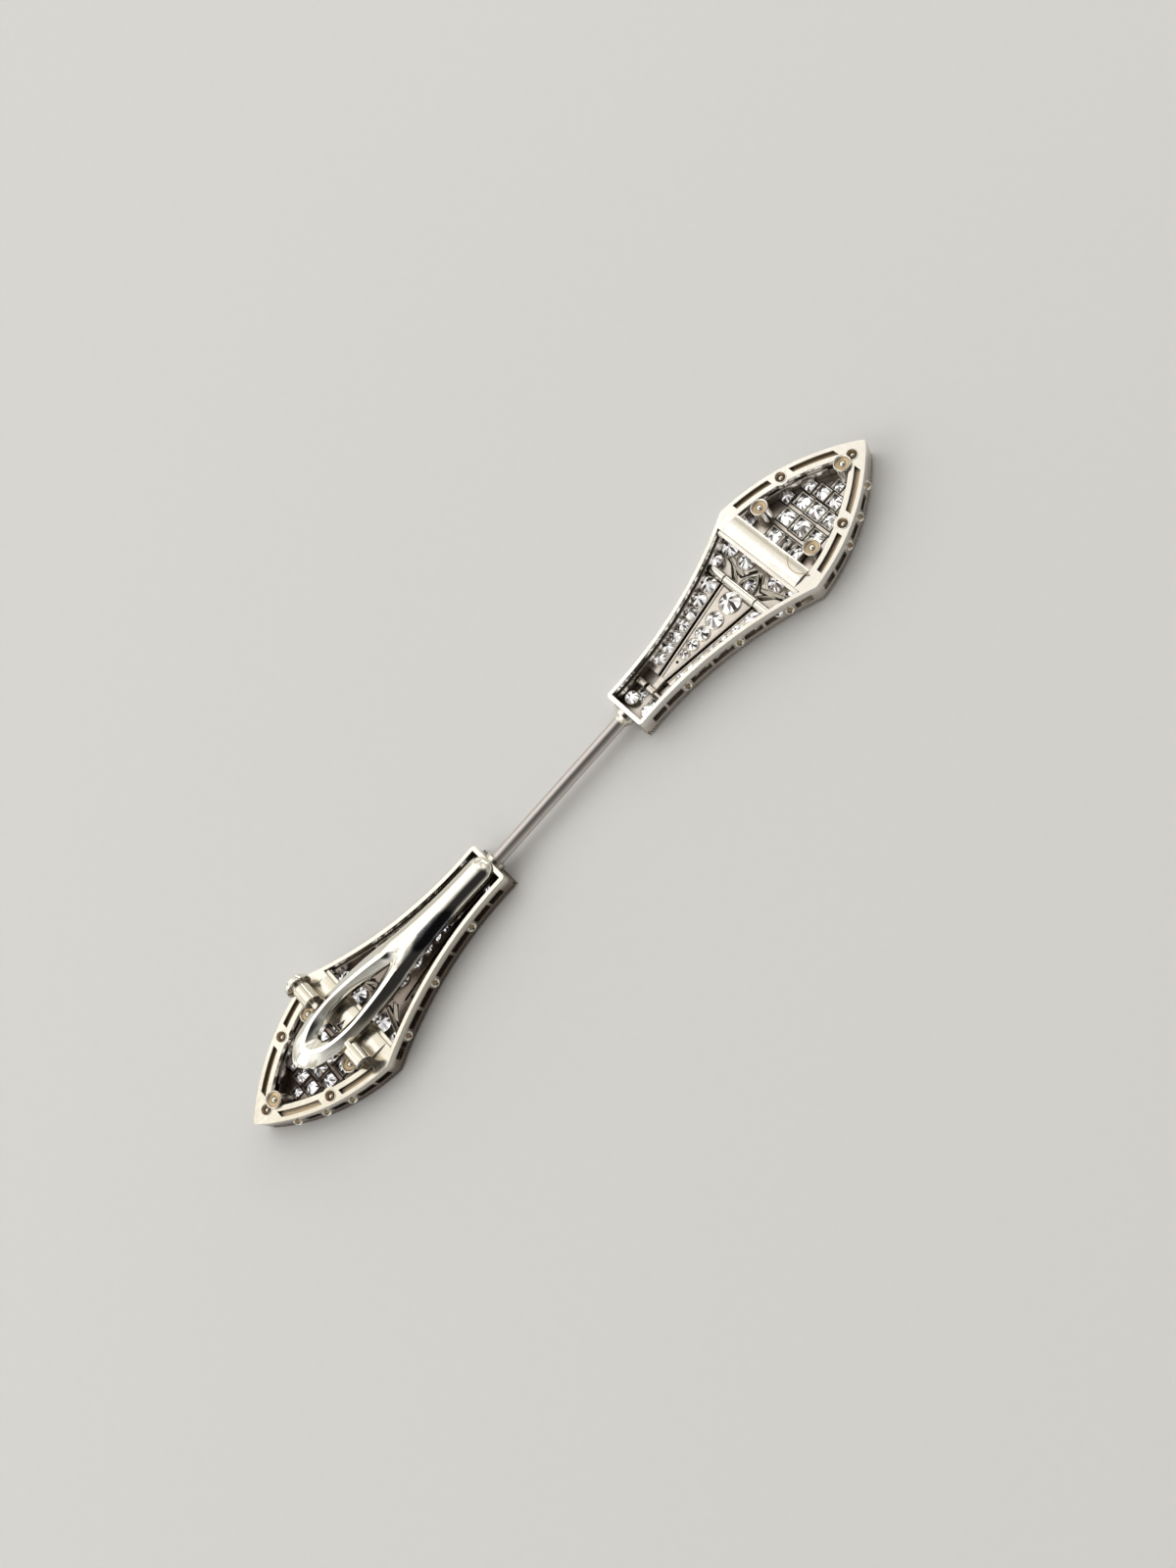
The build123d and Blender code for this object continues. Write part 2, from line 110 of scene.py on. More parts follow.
def half_width(x):
    """Half a head's width at x, read along its side edge."""
    return np.interp(x, side_edge[:, 0], side_edge[:, 1])


def row_stones(side):
    """One neck row, each stone as wide as the room between the leaf and the wall lets it be."""
    stones = []
    x = 13.9
    while x > 4.8:
        low = leaf_half(x + 0.72) + 0.18
        high = half_width(x) - 0.3
        seat = min(0.72 * flat_ratio, (high - low) / 2 - 0.12)
        stones.append((x, side * (low + high) / 2, (seat - seat_gap) / flat_ratio))
        x -= 2 * seat + 0.12
    return stones + [(2.3, side * 0.82, 0.42)]


def row_backs(side):
    """The pavilions that stand out of a raised row bed, from the leaf's wide end to its tip, then
    one beside the lotus and one by the narrow end."""
    backs = []
    x = 14.15
    while x > 5.0:
        low, high = leaf_half(x) + 0.42, half_width(x) - 0.42
        r = min(0.8, (high - low) / 2 + 0.06)
        backs.append((x, side * (low + high) / 2, r))
        x -= 1.98 * r + 0.06
    return backs + [(16.4, side * 4.2, 0.62), (1.5, side * 1.12, 0.62)]


def with_mirrored(stones):
    """The stones with the copies of those that stand off the axis."""
    return stones + [(x, -y, r) for x, y, r in stones if y > 0]


def inset_line(inset, start, end, count):
    """The side edge moved inwards by an inset and cut between two stations, on the +Y side."""
    run = np.gradient(side_edge, axis=0)
    run = run / np.linalg.norm(run, axis=1, keepdims=True)
    moved = side_edge + inset * np.stack((run[:, 1], -run[:, 0]), axis=1)
    stations = np.linspace(start, end, count)
    return np.column_stack((stations, np.interp(stations, moved[:, 0], moved[:, 1])))


def raised(line, height, side=1):
    """A plan line as a path at one height, on the +Y side or mirrored to the -Y side."""
    line = np.asarray(line, float)
    return np.column_stack((line[:, 0], side * line[:, 1], np.full(len(line), height)))


def leaf_half(x):
    """Half the leaf's width at x."""
    return 0.3 + 1.7 * (x - 4.2) / 11


def even(points, count, closed=False):
    """Points at equal steps of length along a polyline."""
    points = np.asarray(points, float)
    if closed:
        points = np.concatenate((points, points[:1]))
    run = np.concatenate(([0], np.cumsum(np.linalg.norm(np.diff(points, axis=0), axis=1))))
    at = np.linspace(0, run[-1], count, endpoint=not closed)
    return np.stack([np.interp(at, run, axis) for axis in points.T], axis=1)


def smooth_line(points, count, ends=None):
    """A cubic through the points whose slopes are those of their neighbours, at even steps."""
    points = np.asarray(points, float)
    gap = np.linalg.norm(np.diff(points, axis=0), axis=1)
    run = np.concatenate(([0], np.cumsum(gap)))
    slope = np.gradient(points, run, axis=0)
    if ends:
        slope[0], slope[-1] = ends
    at = np.linspace(0, run[-1], 8 * count)
    k = np.clip(np.searchsorted(run, at, side="right") - 1, 0, len(gap) - 1)
    h = gap[k][:, None]
    u = ((at - run[k]) / gap[k])[:, None]
    line = ((2 * u ** 3 - 3 * u ** 2 + 1) * points[k] + (u ** 3 - 2 * u ** 2 + u) * h * slope[k]
            + (3 * u ** 2 - 2 * u ** 3) * points[k + 1] + (u ** 3 - u ** 2) * h * slope[k + 1])
    return even(line, count)


def grid_faces(rows, columns, wrap_rows=False, wrap_columns=False):
    """Quads between neighbouring rows and columns of a grid of points."""
    i = np.arange(rows if wrap_rows else rows - 1)[:, None]
    j = np.arange(columns if wrap_columns else columns - 1)[None, :]
    down, right = (i + 1) % rows, (j + 1) % columns
    corners = (i * columns + j, down * columns + j, down * columns + right, i * columns + right)
    return np.stack([np.broadcast_to(c, (i.size, j.size)) for c in corners], axis=-1).reshape(-1, 4)


def spun(profile, sides=16):
    """A profile of (radius, height), carried round the upright axis; its ends close on the axis
    where their radius is nothing, or else the profile is a closed loop."""
    profile = np.asarray(profile, float)
    angle = np.linspace(0, 2 * math.pi, sides, endpoint=False)
    radius, height = profile[:, 0, None], profile[:, 1, None]
    points = np.stack((radius * np.cos(angle), radius * np.sin(angle), height + 0 * angle), axis=-1)
    open_ends = profile[0, 0] == 0 and profile[-1, 0] == 0
    return points.reshape(-1, 3), grid_faces(len(profile), sides, not open_ends, True)


def squared(profile, half):
    """A profile of (outward step, height), carried round a square of the given half side."""
    profile = np.asarray(profile, float)
    corner = np.array(((1, 1), (-1, 1), (-1, -1), (1, -1)))
    across = (half + profile[:, 0, None, None]) * corner
    height = np.broadcast_to(profile[:, 1, None, None], across.shape[:2] + (1,))
    return np.concatenate((across, height), axis=-1).reshape(-1, 3), grid_faces(len(profile), 4, True, True)


def swept(path, profile):
    """A closed profile of (sideways, up) carried along a path and capped at both ends; sideways
    is level and at right angles to the run of the path."""
    path = np.asarray(path, float)
    run = np.gradient(path, axis=0)
    run = run / np.linalg.norm(run, axis=1, keepdims=True)
    up = np.array((0.0, 0.0, 1.0))
    side = np.cross(run, up)
    side = side / np.linalg.norm(side, axis=1, keepdims=True)
    profile = np.asarray(profile, float)
    points = path[:, None] + profile[None, :, 0, None] * side[:, None] + profile[None, :, 1, None] * up
    faces = grid_faces(len(path), len(profile), False, True)
    points = points.reshape(-1, 3)
    n = len(profile)
    ends = np.array((path[0], path[-1]))
    i = np.arange(n)
    j = (i + 1) % n
    last = (len(path) - 1) * n
    first_cap = np.stack((i, j, 0 * i + len(points), 0 * i + len(points)), axis=1)
    last_cap = np.stack((last + j, last + i, 0 * i + len(points) + 1, 0 * i + len(points) + 1), axis=1)
    return np.concatenate((points, ends)), np.concatenate((faces, first_cap, last_cap))


def bar_profile(low, high, width, bevel=0.04):
    """A closed square section between two heights, with its two upper edges bevelled."""
    half = width / 2
    return np.array(((-half, low), (half, low), (half, high - bevel), (half - bevel, high),
                     (bevel - half, high), (-half, high - bevel)))


def ring_profile(width, height, count=8):
    """A closed rounded section, width across and height up, about its own middle."""
    angle = np.linspace(0, 2 * math.pi, count, endpoint=False)
    return np.stack((width / 2 * np.cos(angle), height / 2 * np.sin(angle)), axis=1)


def wall_rail(side, inset, start, end, count, profile, height=0):
    """A profile carried along the inside of a wall, at an inset and between two stations."""
    return swept(raised(inset_line(inset, start, end, count), height, side), profile)


def shifted(shape, x, y):
    """A shape moved in plan."""
    return shape[0] + (x, y, 0), shape[1]


def crosswise(shape, x, z):
    """A spun shape laid across a head, with its axis at a station and a height."""
    points, faces = shape
    return np.column_stack((points[:, 0] + x, -points[:, 2], points[:, 1] + z)), faces


def copies(shape, centres, scales=1.0):
    """One shape repeated at many centres, each with its own scale."""
    points, faces = shape
    centres = np.asarray(centres, float)
    scales = np.broadcast_to(np.asarray(scales, float).reshape(-1, 1, 1), (len(centres), 1, 1))
    every = (points[None] * scales + centres[:, None]).reshape(-1, 3)
    step = (np.arange(len(centres)) * len(points))[:, None, None]
    return every, (faces[None] + step).reshape(-1, faces.shape[1])


def joined(*shapes):
    """Several shapes as one set of points and quads."""
    points = np.concatenate([s[0] for s in shapes])
    steps = np.cumsum([0] + [len(s[0]) for s in shapes[:-1]])
    return points, np.concatenate([s[1] + step for s, step in zip(shapes, steps)])


def placed(points, head):
    """Head points in millimetres, put at their head's place in metres."""
    side = 1 if head == "pin" else -1
    points = np.array(points, float)
    points[:, 0] = side * (points[:, 0] + half_span)
    points[:, 1] = side * points[:, 1]
    return points * mm


def make_piece(name, shape, head, body, material, crease=40, replaces=()):
    """A mesh object from a shape, welded, closed, facing outwards, and riding on its body."""
    points, faces = shape
    mesh = bpy.data.meshes.new(name)
    mesh.from_pydata(placed(points, head), [], [list(dict.fromkeys(f)) for f in faces.tolist()])
    work = bmesh.new()
    work.from_mesh(mesh)
    bmesh.ops.remove_doubles(work, verts=work.verts, dist=1e-7)
    bmesh.ops.recalc_face_normals(work, faces=work.faces)
    work.to_mesh(mesh)
    work.free()
    mesh.shade_smooth()
    mesh.set_sharp_from_angle(angle=math.radians(crease))
    mesh.materials.append(material)
    piece = bpy.data.objects.new(name, mesh)
    bpy.context.scene.collection.objects.link(piece)
    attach(piece, body)
    if replaces:
        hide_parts(*replaces)
    return piece


# Shaders

class Signal:
    """One socket of a shader, with the arithmetic that the finishes use."""

    def __init__(self, finish, socket):
        self.finish = finish
        self.socket = socket

    def maths(self, operation, first, second):
        return self.finish.add("ShaderNodeMath", {"operation": operation}, {0: first, 1: second})

    def __add__(self, other):
        return self.maths("ADD", self, other)

    __radd__ = __add__

    def __sub__(self, other):
        return self.maths("SUBTRACT", self, other)

    def __rsub__(self, other):
        return self.maths("SUBTRACT", other, self)

    def __mul__(self, other):
        return self.maths("MULTIPLY", self, other)

    __rmul__ = __mul__


class Tree:
    """A node tree that nodes are added to by type, settings and sockets."""

    def __init__(self, tree):
        self.tree = tree

    def add(self, kind, settings=None, sockets=None, out=0):
        node = self.tree.nodes.new(kind)
        for key, value in (settings or {}).items():
            if key == "stops":
                ramp = node.color_ramp
                while len(ramp.elements) < len(value):
                    ramp.elements.new(0.5)
                for stop, (place, colour) in zip(ramp.elements, value):
                    stop.position = place
                    stop.color = colour
            else:
                setattr(node, key, value)
        for key, value in (sockets or {}).items():
            self.feed(node.inputs[key], value)
        return Signal(self, node.outputs[out])

    def feed(self, socket, value):
        if isinstance(value, Signal):
            self.tree.links.new(value.socket, socket)
        else:
            socket.default_value = value

    def mix(self, share, first, second):
        return self.add("ShaderNodeMix", {"data_type": "RGBA"}, {0: share, 6: first, 7: second}, 2)

    def ramp(self, value, low, high, smooth=False):
        kind = "SMOOTHSTEP" if smooth else "LINEAR"
        return self.add("ShaderNodeMapRange", {"interpolation_type": kind},
                        {"Value": value, "From Min": low, "From Max": high})


class Finish(Tree):
    """A material with its surface shader and the nodes that feed it."""

    def __init__(self, name, **constants):
        self.material = bpy.data.materials.new(name)
        self.material.use_nodes = True
        super().__init__(self.material.node_tree)
        self.shader = self.tree.nodes["Principled BSDF"]
        for socket, value in constants.items():
            self.shader.inputs[socket.replace("_", " ")].default_value = value

    def place(self):
        return self.add("ShaderNodeTexCoord", out="Object")

    def noise(self, scale, detail=3.0, rough=0.5, place=None):
        sockets = {"Vector": place or self.place(), "Scale": scale, "Detail": detail, "Roughness": rough}
        return self.add("ShaderNodeTexNoise", None, sockets)

    def surface(self, **signals):
        for socket, value in signals.items():
            self.feed(self.shader.inputs[socket.replace("_", " ")], value)
        return self.material


def rgba(colour, gain=1.0):
    """A property's colour as four numbers."""
    return (*(min(1.0, c * gain) for c in colour), 1.0)


def metal_finish(name, colour, inner, recess_shade, rough, scratch, recess, edge, recess_shade_weight, stain_and_reflection=None):
    """Worked metal: fine hairlines and soft hammer marks in the bump, painted shade that turns the metal
    greyer below the polished rims, painted shade that makes it darker and browner in the recesses and under
    overhangs, and softened edges. The stain and reflection mark is a dark, scratched oval given by its
    middle and its reach along and across: partly a stain, partly a painted dark reflection."""
    finish = Finish(name, Metallic=1.0)
    place = finish.place()
    stretched = finish.add("ShaderNodeMapping", None, {"Vector": place, "Scale": (1.0, 7.0, 5.0)})
    hairs = finish.noise(2600.0, 4.0, 0.65, stretched)
    broad = finish.noise(420.0, 3.0, 0.55, place)
    # Painted shade: near and far occlusion darken and brown the colour in recesses, creases and under
    # overhangs, to near black in the deepest.
    near = finish.add("ShaderNodeAmbientOcclusion", {"samples": 8}, {"Distance": recess * mm}, "AO")
    far = finish.add("ShaderNodeAmbientOcclusion", {"samples": 8}, {"Distance": 3.5 * recess * mm}, "AO")
    recess_shade_mask = finish.ramp(near + (broad - 0.5) * 0.3, 0.8, 0.15)
    deepest_shade = finish.ramp(near * 0.5 + far * 0.5 + (hairs - 0.5) * 0.15, 0.3, 0.08)
    # Painted shade: below the rims the colour turns to the inner colour, more the deeper it lies.
    height = finish.add("ShaderNodeSeparateXYZ", None, {0: place}, "Z")
    depth_shade = finish.ramp(height + (broad - 0.5) * 0.0005, 2.4 * mm, 1.3 * mm, True)
    depth_shaded_tint = finish.mix(depth_shade, finish.mix(broad, rgba(colour, 0.95), rgba(colour, 1.04)),
                      finish.mix(broad, rgba(inner, 0.85), rgba(inner, 1.15)))
    recess_shaded = finish.mix(recess_shade_mask * recess_shade_weight, depth_shaded_tint, rgba(recess_shade))
    base = finish.mix(deepest_shade * recess_shade_weight, recess_shaded, rgba(recess_shade, 0.12))
    # A dark, scratched oval on the lever's strip: partly a stain, partly a painted dark reflection.
    if stain_and_reflection:
        middle_x, middle_y, reach_x, reach_y = stain_and_reflection
        along = finish.add("ShaderNodeSeparateXYZ", None, {0: place}, "X")
        across = finish.add("ShaderNodeSeparateXYZ", None, {0: place}, "Y")
        along = (along - middle_x * mm) * (1 / (reach_x * mm))
        across = (across - middle_y * mm) * (1 / (reach_y * mm))
        apart = along * along + across * across
        scratches = finish.ramp(finish.noise(5200.0, 2.0, 0.7, stretched), 0.56, 0.66)
        stain_and_reflection_cover = finish.ramp(apart + (broad - 0.5) * 1.4, 1.15, 0.55) * (0.92 - scratches * 0.5)
        base = finish.mix(stain_and_reflection_cover, base, (0.035, 0.045, 0.07, 1.0))
    soft_edge = finish.add("ShaderNodeBevel", {"samples": 4}, {"Radius": edge * mm})
    bump = finish.add("ShaderNodeBump", None, {"Strength": scratch, "Distance": 0.00006,
                                               "Height": hairs * 0.05 + broad * 0.95, "Normal": soft_edge})
    dull = rough + (hairs - 0.5) * 0.12 + recess_shade_mask * 0.25 + depth_shade * 0.06
    return finish.surface(Base_Color=base, Roughness=dull, Normal=bump)


def gem_finish(name, colour, shade):
    """Clear stone that bends light strongly; each facet's colour is painted light or painted shade of its
    own, standing for the light and the dark of the surroundings that cut stones show side by side, and a few
    facets glow as painted glints."""
    finish = Finish(name, IOR=2.2, Transmission_Weight=0.15, Roughness=0.03, Emission_Strength=1.0)
    glint = finish.add("ShaderNodeAttribute", {"attribute_name": "glint"}, out="Fac")
    # Painted light and shade: each facet's random glint picks its colour, from near-black shaded facets to
    # white lit ones.
    stops = ((0.0, rgba(shade, 0.45)), (0.2, rgba(shade, 1.6)), (0.4, rgba(colour, 0.66)),
             (0.58, rgba(colour)))
    clear = finish.add("ShaderNodeValToRGB", {"stops": stops}, {"Fac": glint})
    # Painted glints: the facets with the highest glint glow in the lit facet colour.
    glint_glow = finish.mix(finish.ramp(glint, 0.45, 0.9), (0.0, 0.0, 0.0, 1.0), rgba(colour, 0.85))
    mirrored = finish.ramp(glint, 0.75, 0.35) * 0.8
    return finish.surface(Base_Color=clear, Metallic=mirrored, Emission_Color=glint_glow)


# Sizes and finishes that a user may change

def colour_choice(name, description, default):
    """A colour that a user may change."""
    return FloatVectorProperty(name=name, description=description, subtype="COLOR", default=default,
                               min=0, max=1)


def length_choice(name, description, default, low, high):
    """A length in metres that a user may change."""
    return FloatProperty(name=name, description=description, default=default, min=low, max=high,
                         unit="LENGTH", precision=6)


class JabotPinSizes(PropertyGroup):
    """Sizes of the worked detail, in metres."""
    bead_size: length_choice("Milgrain bead", "Diameter of one bead of the beaded edge",
                             0.00024, 0.0001, 0.0005)
    bead_pitch: length_choice("Milgrain pitch", "Distance from one bead to the next",
                              0.0003, 0.0001, 0.001)
    collar_height: length_choice("Collar height", "How far a stone's collar stands up",
                                 0.00014, 0.00002, 0.0004)
    lever_crown: length_choice("Lever crown", "Rise of the lever's dome over its side band",
                               0.00062, 0.0002, 0.0009)


class JabotPinFinishes(PropertyGroup):
    """Colours and polish of the metals and stones, and the colours of their painted shade and painted light.
    """
    frame_colour: colour_choice("Head metal", "Colour of the two heads' metal", (0.88, 0.85, 0.785))
    # Painted shade: the colour that the heads' metal turns to below the rims.
    depth_shade_colour: colour_choice("Inner metal", "Colour of the metal below the rims", (0.66, 0.61, 0.55))
    # Painted shade: the clip head's metal, a darker, yellower copy of the head metal.
    clip_shaded_colour: colour_choice("Clip head metal", "Colour of the clip head's metal", (0.82, 0.775, 0.67))
    # Painted shade: the colour that the clip head's metal turns to below its rims.
    clip_depth_shade_colour: colour_choice("Tarnish", "Colour of the clip head below its rims",
                                  (0.27, 0.225, 0.19))
    polished_colour: colour_choice("Polished metal", "Colour of the lever's metal", (0.86, 0.84, 0.765))
    stem_colour: colour_choice("Stem metal", "Colour of the stem's wire", (0.62, 0.58, 0.55))
    # Painted shade: the colour of the recesses, creases and overhangs.
    recess_shade_colour: colour_choice("Recesses", "Colour of unpolished, tarnished recesses",
                                 (0.27, 0.215, 0.175))
    # Painted shade: the darker, browner metal in the rim's slots and holes, in the studs' dishes and in the
    # rings' eyes.
    slot_shade_colour: colour_choice("Slots", "Colour of the gilt metal inside the rim's slots",
                               (0.52, 0.40, 0.25))
    # Painted shade: the near-black metal in the sawn gaps and the leaf's dot.
    gap_shade_colour: colour_choice("Gaps", "Colour of the metal inside the sawn gaps", (0.035, 0.03, 0.03))
    # Painted light: the colour of the stones' lit facets and of their glowing glints.
    lit_facet_colour: colour_choice("Stones", "Colour of the stones' lit facets", (0.95, 0.95, 0.96))
    # Painted shade: the colour of the stones' dark facets.
    shaded_facet_colour: colour_choice("Shaded facets", "Colour of the stones' dark facets",
                                (0.26, 0.235, 0.225))
    polish: FloatProperty(name="Roughness", description="Roughness of the heads' polished surfaces",
                          default=0.16, min=0.02, max=0.6, subtype="FACTOR")


class JabotPinStage(PropertyGroup):
    """Camera, floor and lights."""
    floor_colour: colour_choice("Floor", "Colour of the floor", (0.86, 0.86, 0.855))
    distance: FloatProperty(name="Camera distance", description="From the camera to the stem's middle",
                            default=0.15, min=0.08, max=1.0, unit="LENGTH")
    light: FloatProperty(name="Light", description="Power of the main soft light in watts", default=0.5,
                         min=0, max=50)


def finishes():
    """The shared materials, made once and found by name after that."""
    looks = bpy.context.scene.jabot_finishes
    made = bpy.data.materials
    if "head_metal" not in made:
        head, lever, stem, inner, recess_shade, slot, gap = (
            looks.frame_colour, looks.polished_colour, looks.stem_colour, looks.depth_shade_colour,
            looks.recess_shade_colour, looks.slot_shade_colour, looks.gap_shade_colour)
        # The pin head's metal turns to the inner colour below the rims and to the recess colour in hollows:
        # painted shade.
        metal_finish("head_metal", head, inner, recess_shade, looks.polish, 0.7, 1.1, 0.09, 1.0)
        # The clip head's metal is a darker, yellower copy of the head metal, and turns darker still below
        # its rims: painted shade.
        clip, clip_depth_shade = looks.clip_shaded_colour, looks.clip_depth_shade_colour
        metal_finish("clip_shaded_metal", clip, clip_depth_shade, recess_shade, looks.polish, 0.7, 1.2, 0.09, 1.0)
        # The lever's finish keeps its own colour below the rims, so it has no painted depth shade and half
        # the painted recess shade; its oval is partly a stain, partly a painted dark reflection.
        metal_finish("lever_metal", lever, lever, recess_shade, 0.08, 0.35, 0.8, 0.06, 0.5, (-17.3, -1.0, 3.0, 0.75))
        metal_finish("stem_wire", stem, stem, recess_shade, 0.36, 0.4, 0.6, 0.03, 0.4)
        # Darker, browner metal for the slots, the holes, the stud dishes and the rings' eyes: painted shade.
        metal_finish("slot_shade_metal", slot, slot, recess_shade, 0.34, 0.5, 0.5, 0.03, 0.8)
        # Near-black metal for the sawn gaps and the leaf's dot: painted shade.
        metal_finish("gap_shade_metal", gap, gap, gap, 0.4, 0.3, 0.4, 0.02, 0.5)
        # Stones whose facets carry painted light, painted shade and painted glints.
        gem_finish("clear_stone", looks.lit_facet_colour, looks.shaded_facet_colour)
    return made


def rim_metal(head):
    """The metal of one head's frame; the clip head's is a darker, yellower copy, painted shade."""
    return finishes()["head_metal" if head == "pin" else "clip_shaded_metal"]


def head_piece(head, name, look, *shapes, crease=40):
    """Several shapes as one piece that is soldered to a head's frame."""
    return make_piece(f"{head}_{name}", joined(*shapes), head, f"{head}_head", look, crease)


# Operators

class JABOT_OT_finishes(Operator):
    """Give every solid of the pin its worked metal or its clear stone."""
    bl_idname = "jabot.finishes"
    bl_label = "Finish the solids"

    def execute(self, context):
        look = finishes()
        kinds = {"frame_metal": "head_metal", "polished_metal": "lever_metal", "stem_metal": "stem_wire",
                 "diamond": "clear_stone"}
        for part in frame["record"]["subparts"]:
            node = frame["nodes"][part["node"]]
            if not node.material_slots:
                raise RuntimeError(f"{part['node']} has no material slot")
            # The clip head's frame takes the darker, yellower copy of the head metal: painted shade.
            kind = "clip_shaded_metal" if part["node"] == "clip_head_frame" else kinds[part["material_slot"]]
            for slot in node.material_slots:
                slot.material = look[kind]
        return {"FINISHED"}


class JABOT_OT_stones(Operator):
    """Replace the plain eight-sided stones by brilliants with all their facets."""
    bl_idname = "jabot.stones"
    bl_label = "Cut the stones"

    def brilliant(self):
        """Rings of points at eighth and sixteenth turns, joined by table, star, kite, girdle,
        lower-half and main facets; radius 1, table at height 0, culet up."""
        eighth = np.arange(8) * math.pi / 4
        sixteenth = np.arange(16) * math.pi / 8

        def ring(radius, height, angle):
            return np.stack((radius * np.cos(angle), radius * np.sin(angle), height + 0 * angle), axis=1)

        points = np.concatenate((
            ring(0.55, 0.0, eighth), ring(0.79, 0.16, eighth + math.pi / 8), ring(1.0, 0.3, sixteenth),
            ring(1.0, 0.35, sixteenth), ring(0.47, 0.78, eighth + math.pi / 8),
            ring(0.09, 1.09, eighth + math.pi / 8), ((0, 0, 0.0), (0, 0, 1.09))))
        table, star, upper, lower, belly, culet = 0, 8, 16, 32, 48, 56
        k = np.arange(8)
        n, p = (k + 1) % 8, (k - 1) % 8
        a, b, c = 2 * k, 2 * k + 1, (2 * k + 2) % 16
        o = 0 * k
        faces = np.concatenate([np.stack(f, axis=1) for f in (
            (o + 64, table + n, table + k, table + k), (table + k, table + n, star + k, star + k),
            (table + k, star + k, upper + a, star + p), (star + k, upper + b, upper + a, upper + a),
            (star + k, upper + c, upper + b, upper + b), (upper + a, upper + b, lower + b, lower + a),
            (upper + b, upper + c, lower + c, lower + b), (lower + a, lower + b, belly + k, belly + k),
            (lower + b, lower + c, belly + k, belly + k), (lower + a, belly + k, culet + k, belly + p),
            (belly + p, culet + k, culet + p, culet + p), (culet + p, culet + k, o + 65, o + 65))])
        return points, faces

    def execute(self, context):
        look = finishes()["clear_stone"]
        cut = self.brilliant()
        chance = np.random.default_rng(11)
        groups = {"arrow_stones": with_mirrored(arrow_rows), "left_row_stones": row_stones(1),
                  "right_row_stones": row_stones(-1), "lotus_stone": [lotus_stone]}
        groups.update({f"bar_stone_{i}": [s] for i, s in enumerate(bar_stones, 1)})
        groups.update({f"leaf_stone_{i}": [s] for i, s in enumerate(leaf_stones, 1)})
        for head in ("pin", "clip"):
            for name, stones in groups.items():
                body = "leaf" if head == "pin" and name.startswith("leaf") else f"{head}_head"
                every = np.array([(*stone, table_height) for stone in stones])
                if head == "pin" and name.endswith("row_stones"):
                    side = 1 if "left" in name else -1
                    backs = [(*stone, bed_top - 0.28) for stone in row_backs(side)]
                    every = np.concatenate((every, backs))
                elif body == "leaf":
                    every = np.concatenate((every, [(x, y, r, 1.14 - 0.33 * r) for x, y, r in stones]))
                shape = copies(cut, every[:, (0, 1, 3)], every[:, 2])
                piece = make_piece(f"{head}_{name}_cut", shape, head, body, look, 1,
                                   [f"{head}_{name}"])
                # Each facet's random glint sets its painted light or shade, and its painted glow.
                glint = piece.data.attributes.new("glint", "FLOAT", "FACE")
                # The arrow's stones get higher glints, so more painted light.
                lift = 0.6 if name == "arrow_stones" else 0.85
                glint.data.foreach_set("value", chance.random(len(glint.data)) ** lift)
        return {"FINISHED"}


